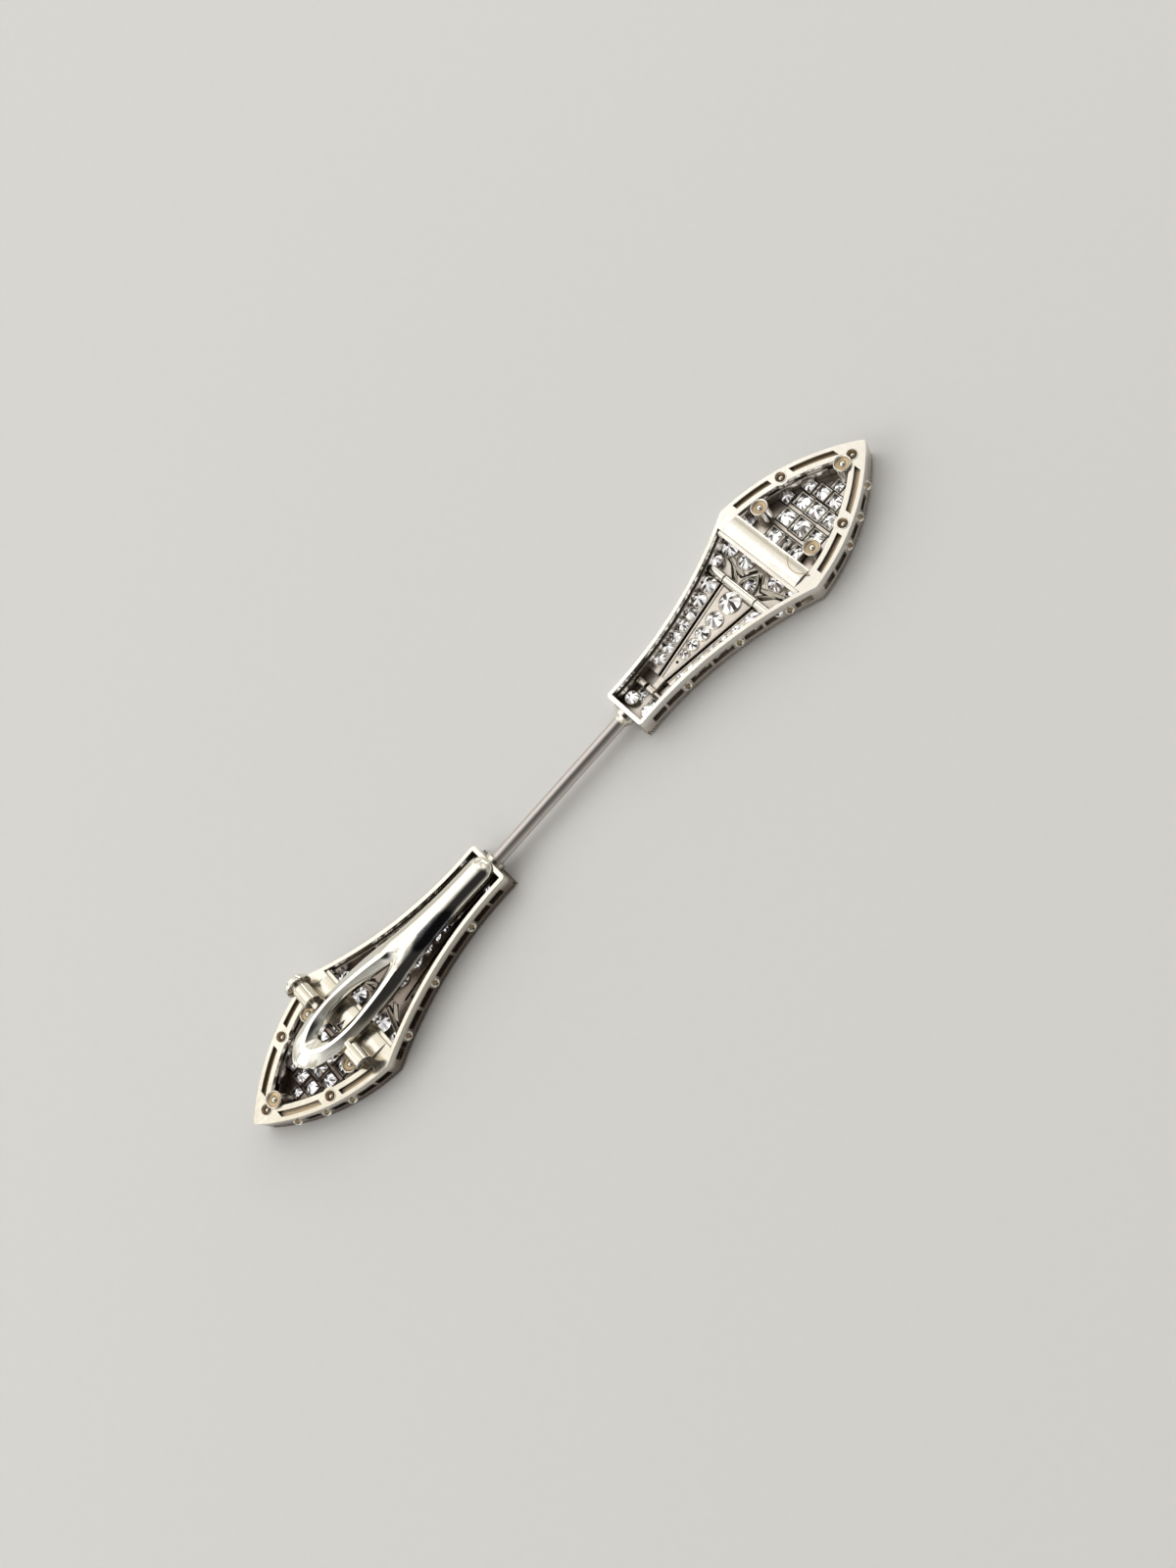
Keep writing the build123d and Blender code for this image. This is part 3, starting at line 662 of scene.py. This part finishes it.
class JABOT_OT_lever(Operator):
    """Carry a domed section round the lever's pear outline, from its strip into its open loop."""
    bl_idname = "jabot.lever"
    bl_label = "Shape the lever"

    def execute(self, context):
        crown = context.scene.jabot_sizes.lever_crown / mm
        angle = np.linspace(0, math.pi / 2, 14)[:-1]
        nose = 1.27 * np.stack((1 - np.cos(angle), np.sin(angle)), axis=1)
        flank = smooth_line([(1.27, 1.27), (5.5, 1.33), (10.5, 1.75), (14.8, 2.38), (18.9, 2.62),
                             (22.6, 2.35), (25.0, 1.45), (26.0, 0)], 120, ((1, 0), (0, -1)))
        outer = np.concatenate((nose, flank))
        hole = smooth_line([(13.0, 0), (15.6, 0.62), (18.9, 1.12), (21.4, 0.85), (22.8, 0)], 80,
                           ((0.96, 0.28), (0, -1)))
        inner_line = np.concatenate(([(1.27, 0)], hole))
        run = np.concatenate(([0], np.cumsum(np.linalg.norm(np.diff(inner_line, axis=0), axis=1))))
        split = run[1]
        fork = len(nose) + int(np.searchsorted(flank[:, 0], 13.4))
        at = np.interp(np.arange(len(outer)), [0, len(nose), fork, len(outer) - 1], [0, 0.3, split, run[-1]])
        inner = np.stack([np.interp(at, run, axis) for axis in inner_line.T], axis=1)
        opened = np.clip((at - split + 1.8) / 2.4, 0, 1)
        opened = (opened * opened * (3 - 2 * opened))[:, None]
        across = np.array((0, 0.05, 0.12, 0.2, 0.28, 0.36, 0.43, 0.5, 0.57, 0.64, 0.72, 0.8, 0.9, 1))
        domed = np.sin(across * math.pi / 2) ** 0.62
        barred = np.minimum(1, np.minimum(across / 0.43, (1 - across) / 0.36)) ** 0.85
        plan = outer[:, None] + across[None, :, None] * (inner - outer)[:, None]
        under, over = 2.92 + 0.8 * plan[..., 0] / 26, 3.65 + 1.5 * plan[..., 0] / 26
        rise = np.minimum(crown, 0.85 * (over - under))
        top = over - rise * (1 - (1 - opened) * domed - opened * barred)
        upper = np.concatenate((plan, top[..., None]), axis=-1)
        low_outer = np.column_stack((outer, under[:, 0]))[:, None]
        low_inner = np.column_stack((inner, under[:, -1]))[:, None]
        mid_outer = low_outer * (1, 1, 0) + (0, 0, 1) * (top[:, :1, None] - 0.03)
        section = np.concatenate((low_outer, mid_outer, upper, low_inner), axis=1)
        count, ring = section.shape[:2]
        faces = grid_faces(count, ring, False, True).reshape(count - 1, ring, 4)
        keep = np.ones((count - 1, ring), bool)
        keep[at[:-1] < split - 1e-6, ring - 2] = False
        half = (section.reshape(-1, 3), faces[keep])
        other = (half[0] * (1, -1, 1), half[1][:, ::-1])
        look = finishes()["lever_metal"]
        make_piece("lever_polished", joined(half, other), "clip", "lever", look, 16,
                   ["clip_lever"])
        return {"FINISHED"}


class JABOT_OT_knob(Operator):
    """Turn the lever's hinge pin with its thick flanged knob as one smooth round piece."""
    bl_idname = "jabot.knob"
    bl_label = "Turn the knob"

    def execute(self, context):
        profile = [(0, 1.5), (0.3, 1.5), (0.3, 5.08), (0.78, 5.08), (0.78, 5.32), (1.22, 5.34), (1.33, 5.38),
                   (1.35, 5.46), (1.35, 5.66), (1.3, 5.72), (1.18, 5.74), (1.14, 5.79), (1.14, 5.95),
                   (1.07, 6.02), (0.55, 6.04), (0.5, 6.0), (0.42, 6.0), (0.36, 6.08), (0.2, 6.17), (0, 6.2)]
        knob = crosswise(spun(profile, 48), *lever_hinge)
        make_piece("knob_turned", knob, "clip", "clip_head",
                   finishes()["lever_metal"], 35, ["lever_pin_knobbed"])
        return {"FINISHED"}


class JABOT_OT_studs(Operator):
    """Cap the hollow studs with a dished rim round a bright dome, and seat beads in the rim holes; cones
    down the holes and dishes inside the studs are painted shade.
    """
    bl_idname = "jabot.studs"
    bl_label = "Cap the studs"

    def execute(self, context):
        angle = np.linspace(0, math.pi / 2, 6)
        dome = np.stack((0.29 * np.cos(angle), 2.92 + 0.22 * np.sin(angle)), axis=1)
        dome[-1, 0] = 0
        cap = np.concatenate(([(0, 2.6), (0.44, 2.6), (0.44, 2.87), (0.6, 2.88), (0.81, 2.88), (0.86, 3.0),
                               (0.84, 3.12), (0.78, 3.15), (0.73, 3.12), (0.66, 2.94), (0.5, 2.9),
                               (0.38, 2.9), (0.31, 2.91)], dome))
        cone = [(0, 2.35), (0.53, 2.35), (0.53, 2.79), (0.49, 2.79), (0.3, 2.5), (0, 2.47)]
        dish = [(0.34, 2.86), (0.69, 2.86), (0.69, 3.0), (0.62, 2.95), (0.34, 2.94)]
        angle = np.linspace(-math.pi / 2, math.pi / 2, 11)
        ball = np.stack((0.26 * np.cos(angle), 0.26 * np.sin(angle)), axis=1)
        ball[0, 0] = ball[-1, 0] = 0
        lip = ring_profile(0.12, 0.09) + (0.56, 2.8)
        for head in ("pin", "clip"):
            caps = copies(spun(cap, 32), [(x, y, 0) for x, y in studs])
            balls = copies(spun(ball, 24), [(x, y, 2.5) for x, y in rim_holes])
            lips = copies(spun(lip, 32), [(x, y, 0) for x, y in rim_holes])
            head_piece(head, "stud_caps", rim_metal(head), caps)
            head_piece(head, "rim_beads", rim_metal(head), balls, lips)
            # Painted shade: cones down the rim holes and dishes inside the studs, in the darker, browner
            # slot finish.
            cones = copies(spun(cone, 24), [(x, y, 0) for x, y in rim_holes])
            dishes = copies(spun(dish, 24), [(x, y, 0) for x, y in studs])
            head_piece(head, "rim_cones", finishes()["slot_shade_metal"], cones, dishes)
        return {"FINISHED"}


class JABOT_OT_collars(Operator):
    """Stand thin bevelled collars round the stones' seats and small rings on the pierced walls."""
    bl_idname = "jabot.collars"
    bl_label = "Raise the collars"

    def execute(self, context):
        rise = context.scene.jabot_sizes.collar_height / mm
        for head in ("pin", "clip"):
            look = rim_metal(head)
            squares = []
            for x, y, r in with_mirrored(arrow_rows) + row_stones(1) + row_stones(-1):
                half = r * flat_ratio + seat_gap
                shape = squared([(-0.03, 0.3), (-0.03, plate_top + 0.02), (0.03, plate_top + rise),
                                 (0.1, plate_top + 0.01), (0.1, 0.3)], half)
                squares.append(shifted(shape, x, y))
            # The pin's square collars take the lever's finish, lighter for lack of the heads' painted depth
            # shade.
            bright = finishes()["lever_metal"] if head == "pin" else look
            head_piece(head, "square_collars", bright, *squares, crease=20)
            rounds = []
            flat_leaf = leaf_stones if head == "clip" else []
            for x, y, r in bar_stones + [lotus_stone] + flat_leaf:
                shape = spun([(0.96 * r, 0.4), (0.96 * r, plate_top + 0.03),
                              (1.02 * r, plate_top + 0.5 * rise), (1.08 * r + 0.06, plate_top + 0.4 * rise),
                              (1.1 * r + 0.12, plate_top), (1.1 * r + 0.1, 0.4)], 40)
                rounds.append(shifted(shape, x, y))
            head_piece(head, "round_collars", look, *rounds)
            rings = []
            torus = spun(ring_profile(0.24, 0.26) + (0.36, 0), 28)
            eye = spun([(0, -0.16), (0.28, -0.16), (0.28, 0.0), (0, 0.0)], 20)
            eyes = []
            for x in wall_rings:
                slope = (half_width(x + 0.1) - half_width(x - 0.1)) / 0.2
                out = np.array((-slope, 1.0, 0.0)) / math.hypot(slope, 1)
                along = np.array((out[1], -out[0], 0.0))
                lean = 0.8 * out + (0.0, 0.0, 0.6)
                basis = np.stack((along, np.cross(lean, along), lean))
                centre = (x, half_width(x), 1.45) + 0.04 * out
                for side in (1, -1):
                    for shape, group in ((torus, rings), (eye, eyes)):
                        turned = (shape[0] @ basis + centre) * (1, side, 1)
                        group.append((turned, shape[1]))
            # The rings take the lever's finish, lighter for lack of the heads' painted depth shade; their
            # eyes are discs in the darker, browner slot finish: painted shade in the rings' openings.
            head_piece(head, "wall_rings", finishes()["lever_metal"], *rings)
            head_piece(head, "ring_eyes", finishes()["slot_shade_metal"], *eyes)
        return {"FINISHED"}


class JABOT_OT_galleries(Operator):
    """Lay the galleries inside the heads: the beds and rings of the neck's rows, the stepped walls of the
    arrow, the strips and wires in the rim's slots, and the struts by the crossbar. The strips, in the slots
    and along the pin's crossbar, are darker and browner: painted shade."""
    bl_idname = "jabot.galleries"
    bl_label = "Lay the galleries"

    def row_bed(self, side):
        """A raised bed between the leaf and the wall, with a bevelled edge by the leaf, and a ring
        round each pavilion."""
        top = bed_top
        stations = 40
        x = np.linspace(4.7, 14.9, stations)
        edge, wall = leaf_half(x) + 0.2, half_width(x) - 0.33
        bed = np.stack([np.column_stack((x, side * y, np.full(stations, z))) for y, z in (
            (edge, 0.5), (edge, top), (edge + 0.04, top + 0.07), (edge + 0.13, top + 0.07),
            (edge + 0.17, top), (wall, top), (wall, 0.5))], axis=1)
        caps = np.array(((0, 1, 5, 6), (1, 2, 4, 5), (2, 3, 4, 4)))
        faces = np.concatenate((grid_faces(stations, 7, False, True), caps,
                                caps[:, ::-1] + 7 * (stations - 1)))
        rings = []
        for x0, y0, r in row_backs(side):
            ring = spun([(0.95 * r, top - 0.2), (0.95 * r, top + 0.05), (0.96 * r + 0.05, top + 0.1),
                         (0.96 * r + 0.12, top + 0.03), (0.96 * r + 0.13, top - 0.2)], 32)
            rings.append(shifted(ring, x0, y0))
        return (bed.reshape(-1, 3), faces), rings

    def execute(self, context):
        # Painted shade: the strips in the slots and the thin line along the pin's crossbar take the darker,
        # browner slot finish.
        dark = finishes()["slot_shade_metal"]
        for head in ("pin", "clip"):
            bright = rim_metal(head)
            beds, rings, steps_in, strips, wires = [], [], [], [], []
            for side in (1, -1):
                beds.append(wall_rail(side, 0.42, 0.7, 18.2, 60, bar_profile(0.5, 1.95, 0.22)))
                if head == "pin":
                    bed, circles = self.row_bed(side)
                    beds.append(bed)
                    rings += circles
                steps_in.append(wall_rail(side, 1.62, 21.2, 29.2, 30, bar_profile(1.5, 2.12, 0.2)))
                steps_in.append(wall_rail(side, 1.4, 21.2, 30.2, 30, bar_profile(0.6, 1.5, 0.3)))
                for start, end in ((20.9, 25.1), (26.75, 30.9)):
                    strips.append(wall_rail(side, 0.7, start, end, 24, bar_profile(2.2, 2.38, 0.66)))
                    wires.append(wall_rail(side, 0.84, start + 0.3, end - 0.2, 24,
                                           ring_profile(0.09, 0.12), 2.42))
            last = 20.7 if head == "pin" else 21.4
            if head == "pin":
                plan = smooth_line([(20.45, -2.1), (19.75, -3.0), (19.7, -3.9), (20.35, -5.0)], 24)
                off = (plan[:, 0] - bar_middle) / bar_half
                arched = head_depth + (bar_crown - head_depth) * (1 - off ** 2)
                strips.append(swept(np.column_stack((plan, arched)), ring_profile(0.1, 0.05)))
            for y in (0.22, -0.5, -2.33):
                strut = raised([(last - 0.1, y), (last + 0.5, y), (last + 1.3, y)], 0)
                wires.append(swept(strut, bar_profile(0.5, 1.5, 0.16)))
            pieces = {"row_beds": (beds, bright), "arrow_steps": (steps_in, bright),
                      "slot_wires": (wires, bright), "slot_strips": (strips, dark)}
            # The rings round the pavilions take the lever's finish, lighter for lack of the heads' painted
            # depth shade.
            if rings:
                pieces["row_rings"] = rings, finishes()["lever_metal"]
            for name, (shapes, look) in pieces.items():
                head_piece(head, name, look, *shapes)
        return {"FINISHED"}


class JABOT_OT_leaf(Operator):
    """Give the leaf its thick body with raised edges and round seats, and sleeve its hinge."""
    bl_idname = "jabot.leaf"
    bl_label = "Dress the leaf"

    def execute(self, context):
        look, bright = finishes()["head_metal"], finishes()["lever_metal"]
        stations = 40
        x = np.linspace(4.35, 14.95, stations)
        half = leaf_half(x) - 0.03
        side_profile = [(0, 0.5), (0, 1.17), (0.05, 1.22), (0.2, 1.22), (0.26, 1.14)]
        section = [(half - step, z) for step, z in side_profile]
        section += [(step - half, z) for step, z in side_profile[::-1]]
        lid = np.stack([np.column_stack((x, y, np.full(stations, z))) for y, z in section], axis=1)
        ends = np.array([(k, k + 1, 8 - k, 9 - k) for k in range(4)])
        faces = np.concatenate((grid_faces(stations, 10, False, True), ends,
                                ends[:, ::-1] + 10 * (stations - 1)))
        rings = []
        for x0, y0, r in leaf_stones:
            ring = spun([(0.95 * r, 1.0), (0.95 * r, 1.22), (0.99 * r + 0.03, 1.29), (1.02 * r + 0.12, 1.2),
                         (1.02 * r + 0.14, 1.0)], 40)
            rings.append(shifted(ring, x0, y0))
        make_piece("pin_leaf_body", (lid.reshape(-1, 3), faces), "pin", "leaf", look)
        # The leaf's rings take the lever's finish, lighter for lack of the heads' painted depth shade.
        make_piece("pin_leaf_rings", joined(*rings), "pin", "leaf", bright)
        # A near-black disc on the leaf, in the gap finish: painted shade.
        dot = spun([(0, 1.0), (0.15, 1.0), (0.15, 1.155), (0, 1.155)], 16)
        make_piece("pin_leaf_dot", shifted(dot, 6.75, 0), "pin", "leaf",
                   finishes()["gap_shade_metal"])
        sleeves = []
        for start, end in ((-2.0, 2.0), (2.09, 3.8), (-3.8, -2.09)):
            tube = spun([(0.36, start), (0.43, start), (0.47, start + 0.04), (0.47, end - 0.04), (0.43, end),
                         (0.36, end)], 32)
            sleeves.append(crosswise(tube, *leaf_hinge))
        # The solder fillet at the stem's foot takes the clip head's darker metal: painted shade where the
        # stem meets the head.
        solder = spun([(0.6, 0.3), (0.96, 0.3), (0.92, 0.5), (0.8, 0.62), (0.72, 0.8), (0.68, 1.0),
                       (0.6, 1.0)], 32)
        fillet = np.column_stack((-solder[0][:, 2], solder[0][:, 1], solder[0][:, 0] + stem_height))
        make_piece("pin_stem_solder", (fillet, solder[1]), "pin", "pin_head",
                   finishes()["clip_shaded_metal"])
        # The hinge sleeves take the lever's finish, lighter for lack of the heads' painted depth shade.
        make_piece("pin_leaf_sleeve", sleeves[0], "pin", "leaf", bright)
        make_piece("pin_head_sleeves", joined(*sleeves[1:]), "pin", "pin_head", bright)
        return {"FINISHED"}


class JABOT_OT_outlines(Operator):
    """Mark the sawn gaps round the square seats and beside the lotus as narrow dark channels of near-black
    metal: painted shade.
    """
    bl_idname = "jabot.outlines"
    bl_label = "Mark the sawn gaps"

    def execute(self, context):
        dark = finishes()["gap_shade_metal"]
        for head in ("pin", "clip"):
            gaps = []
            for x, y, r in with_mirrored(arrow_rows):
                half = r * flat_ratio + seat_gap
                top = plate_top + 0.03
                shape = squared([(0.08, 0.4), (0.08, top), (0.17, top), (0.17, 0.4)], half)
                gaps.append(shifted(shape, x, y))
            for side in (1, -1):
                chevron = [(17.3, side * 3.6), (17.0, side * 2.6), (16.62, side * 1.25), (17.3, side * 0.8),
                           (18.0, side * 0.3)]
                gaps.append(swept(raised(even(chevron, 30), 0.6), ring_profile(0.17, 0.12)))
            head_piece(head, "gaps", dark, *gaps)
        return {"FINISHED"}


class JABOT_OT_milgrain(Operator):
    """Run rows of tiny beads along the stone faces' edges and grip the stones with grains."""
    bl_idname = "jabot.milgrain"
    bl_label = "Bead the edges"

    def execute(self, context):
        sizes = context.scene.jabot_sizes
        radius = sizes.bead_size / mm / 2
        angle = np.linspace(-math.pi / 2, math.pi / 2, 5)
        ball = np.stack((np.cos(angle), np.sin(angle)), axis=1)
        ball[0, 0] = ball[-1, 0] = 0
        bead = spun(ball, 8)
        outline = np.concatenate((side_edge, (side_edge * (1, -1))[::-1]))
        length = np.linalg.norm(np.diff(outline, axis=0), axis=1).sum() + 2 * neck_points[0][1]
        spots = even(outline, int(length / (sizes.bead_pitch / mm)), True)
        for head in ("pin", "clip"):
            beads = copies(bead, np.column_stack((spots, np.full(len(spots), 0.2))), radius)
            grips = []
            for x, y, r in with_mirrored(arrow_rows) + row_stones(1) + row_stones(-1):
                half = r * flat_ratio + 0.02
                grips += [(x + sx * half, y + sy * half, 0.13) for sx in (1, -1) for sy in (1, -1)]
            grains = copies(bead, grips, 0.12)
            head_piece(head, "milgrain", rim_metal(head), beads, grains)
        return {"FINISHED"}


class JABOT_OT_lotus(Operator):
    """Raise the lotus: an arch band over its stone and a bevelled petal on each side."""
    bl_idname = "jabot.lotus"
    bl_label = "Raise the lotus"

    def execute(self, context):
        # The lotus takes the lever's finish, lighter for lack of the heads' painted depth shade.
        look = finishes()["lever_metal"]
        for head in ("pin", "clip"):
            arch = smooth_line([(16.0, 0.82), (16.55, 0.8), (17.2, 0.5), (17.78, 0.0)], 16)
            arch = np.concatenate((arch, (arch * (1, -1))[-2::-1]))
            band = swept(np.column_stack((arch, np.full(len(arch), 0.68))), ring_profile(0.26, 0.34))
            petals = []
            for side in (1, -1):
                vein = smooth_line([(16.05, side * 1.3), (16.4, side * 1.8), (16.95, side * 2.5),
                                    (17.2, side * 3.3)], 14)
                swell = np.sin(np.linspace(0.12, 1, 14) * math.pi) ** 0.7
                rim = np.stack((vein + swell[:, None] * (0.2, -0.17 * side), vein,
                                vein - swell[:, None] * (0.2, -0.17 * side)), axis=1)
                rise = np.stack((0 * swell, 0.22 * swell, 0 * swell), axis=1) + plate_top
                base = np.concatenate((rim, rise[..., None]), axis=-1)
                under = base[:, ::-1].copy()
                under[..., 2] = 0.45
                loop = np.concatenate((base, under), axis=1)
                petals.append((loop.reshape(-1, 3), grid_faces(14, 6, False, True)))
                for bend in ([(17.52, 3.75), (17.12, 2.72), (16.75, 1.35)], [(17.4, 0.95), (18.1, 0.42)],
                             [(17.05, 1.2), (17.3, 1.9), (17.6, 2.8), (17.85, 3.7)]):
                    line = smooth_line([(x, side * y) for x, y in bend], 12)
                    petals.append(swept(raised(line, 0.66), ring_profile(0.13, 0.3)))
            head_piece(head, "lotus", look, band, *petals)
        return {"FINISHED"}


class JABOT_OT_stage(Operator):
    """Lay the pale floor, hang the soft lights and stand the camera where the photograph was taken."""
    bl_idname = "jabot.stage"
    bl_label = "Set the stage"

    def soft_light(self, name, place, size, power):
        lamp = bpy.data.lights.new(name, "AREA")
        lamp.shape = "RECTANGLE"
        lamp.size, lamp.size_y = size
        lamp.energy = power
        light = bpy.data.objects.new(name, lamp)
        direction = Matrix.Identity(3)
        spot = np.array(place, float)
        back = spot / np.linalg.norm(spot)
        right = np.cross((0, 1, 0.01), back)
        right /= np.linalg.norm(right)
        up = np.cross(back, right)
        for row in range(3):
            direction[row] = (right[row], up[row], back[row])
        light.matrix_world = Matrix.Translation(spot) @ direction.to_4x4()
        bpy.context.scene.collection.objects.link(light)

    def execute(self, context):
        scene = context.scene
        stage = scene.jabot_stage
        mesh = bpy.data.meshes.new("floor")
        reach = 1.5
        low = -0.02 * mm
        corners = [(x * reach, y * reach, low) for x, y in ((-1, -1), (1, -1), (1, 1), (-1, 1))]
        mesh.from_pydata(corners, [], [(0, 1, 2, 3)])
        floor = bpy.data.objects.new("floor", mesh)
        scene.collection.objects.link(floor)
        paper = Finish("floor_paper", Roughness=0.85)
        grain = paper.noise(900.0, 2.0)
        pale = paper.mix(grain, rgba(stage.floor_colour, 0.99), rgba(stage.floor_colour, 1.01))
        mesh.materials.append(paper.surface(Base_Color=pale))

        world = bpy.data.worlds.new("studio")
        world.use_nodes = True
        room = Tree(world.node_tree)
        facing = room.add("ShaderNodeTexCoord", out="Generated")
        away = room.add("ShaderNodeVectorMath", {"operation": "DOT_PRODUCT"},
                        {0: facing, 1: (-0.28, 0.80, 0.53)}, "Value")
        towards = room.add("ShaderNodeVectorMath", {"operation": "DOT_PRODUCT"},
                           {0: facing, 1: (0.043, -0.456, 0.889)}, "Value")
        lit = room.ramp(away, -0.9, 0.3) * room.ramp(towards, 0.95, 0.74, True)
        blotches = room.add("ShaderNodeTexNoise", None, {"Vector": facing, "Scale": 3.2, "Detail": 1.5})
        wall = room.mix(room.ramp(blotches, 0.44, 0.56, True), (0.64, 0.60, 0.52, 1), (1.16, 1.155, 1.14, 1))
        sky = room.mix(lit, (0.03, 0.028, 0.028, 1), wall)
        background = world.node_tree.nodes["Background"]
        room.feed(background.inputs["Color"], sky)
        background.inputs["Strength"].default_value = 1.0
        scene.world = world
        scene.view_settings.view_transform = "Standard"
        power = stage.light
        self.soft_light("back_light", (-0.03, 0.26, 0.36), (0.6, 0.4), 0.5 * power)
        self.soft_light("left_light", (-0.34, 0.06, 0.26), (0.12, 0.26), 0.4 * power)
        self.soft_light("right_light", (0.30, 0.16, 0.16), (0.06, 0.24), 0.2 * power)

        right, up, back = np.array(((0.666, -0.650, -0.366), (0.745, 0.607, 0.276), (0.043, -0.456, 0.889)))
        back = back / np.linalg.norm(back)
        right = right - back * (right @ back)
        right = right / np.linalg.norm(right)
        up = np.cross(back, right)
        lens = bpy.data.cameras.new("camera")
        lens.sensor_width = 36.0
        lens.lens = lens.sensor_width / 2 * photo_scale * stage.distance / mm / half_picture
        lens.clip_start = 0.001
        camera = bpy.data.objects.new("camera", lens)
        spot = (1.97 * right + 0.94 * up) * mm + back * stage.distance
        turn = Matrix([(right[i], up[i], back[i]) for i in range(3)])
        camera.matrix_world = Matrix.Translation(spot) @ turn.to_4x4()
        scene.collection.objects.link(camera)
        scene.camera = camera
        return {"FINISHED"}


steps = ("finishes", "stones", "lever", "knob", "studs", "collars", "galleries", "leaf", "outlines",
         "milgrain", "lotus", "stage")


class JABOT_PT_panel(Panel):
    """The pin's pieces, sizes and finishes."""
    bl_label = "Jabot Pin"
    bl_space_type = "VIEW_3D"
    bl_region_type = "UI"
    bl_category = "Jabot Pin"

    def draw(self, context):
        for group in (context.scene.jabot_sizes, context.scene.jabot_finishes, context.scene.jabot_stage):
            column = self.layout.column(align=True)
            for name in group.__annotations__:
                column.prop(group, name)
        for step in steps:
            self.layout.operator(f"jabot.{step}")


classes = (JabotPinSizes, JabotPinFinishes, JabotPinStage, JABOT_OT_finishes, JABOT_OT_stones,
           JABOT_OT_lever, JABOT_OT_knob, JABOT_OT_studs, JABOT_OT_collars, JABOT_OT_galleries,
           JABOT_OT_leaf, JABOT_OT_outlines, JABOT_OT_milgrain, JABOT_OT_lotus, JABOT_OT_stage,
           JABOT_PT_panel)


def register():
    for kind in classes:
        bpy.utils.register_class(kind)
    bpy.types.Scene.jabot_sizes = PointerProperty(type=JabotPinSizes)
    bpy.types.Scene.jabot_finishes = PointerProperty(type=JabotPinFinishes)
    bpy.types.Scene.jabot_stage = PointerProperty(type=JabotPinStage)


def unregister():
    del bpy.types.Scene.jabot_stage
    del bpy.types.Scene.jabot_finishes
    del bpy.types.Scene.jabot_sizes
    for kind in reversed(classes):
        bpy.utils.unregister_class(kind)


def main():
    register()
    for step in steps:
        getattr(bpy.ops.jabot, step)()


if __name__ == "__main__":
    main()
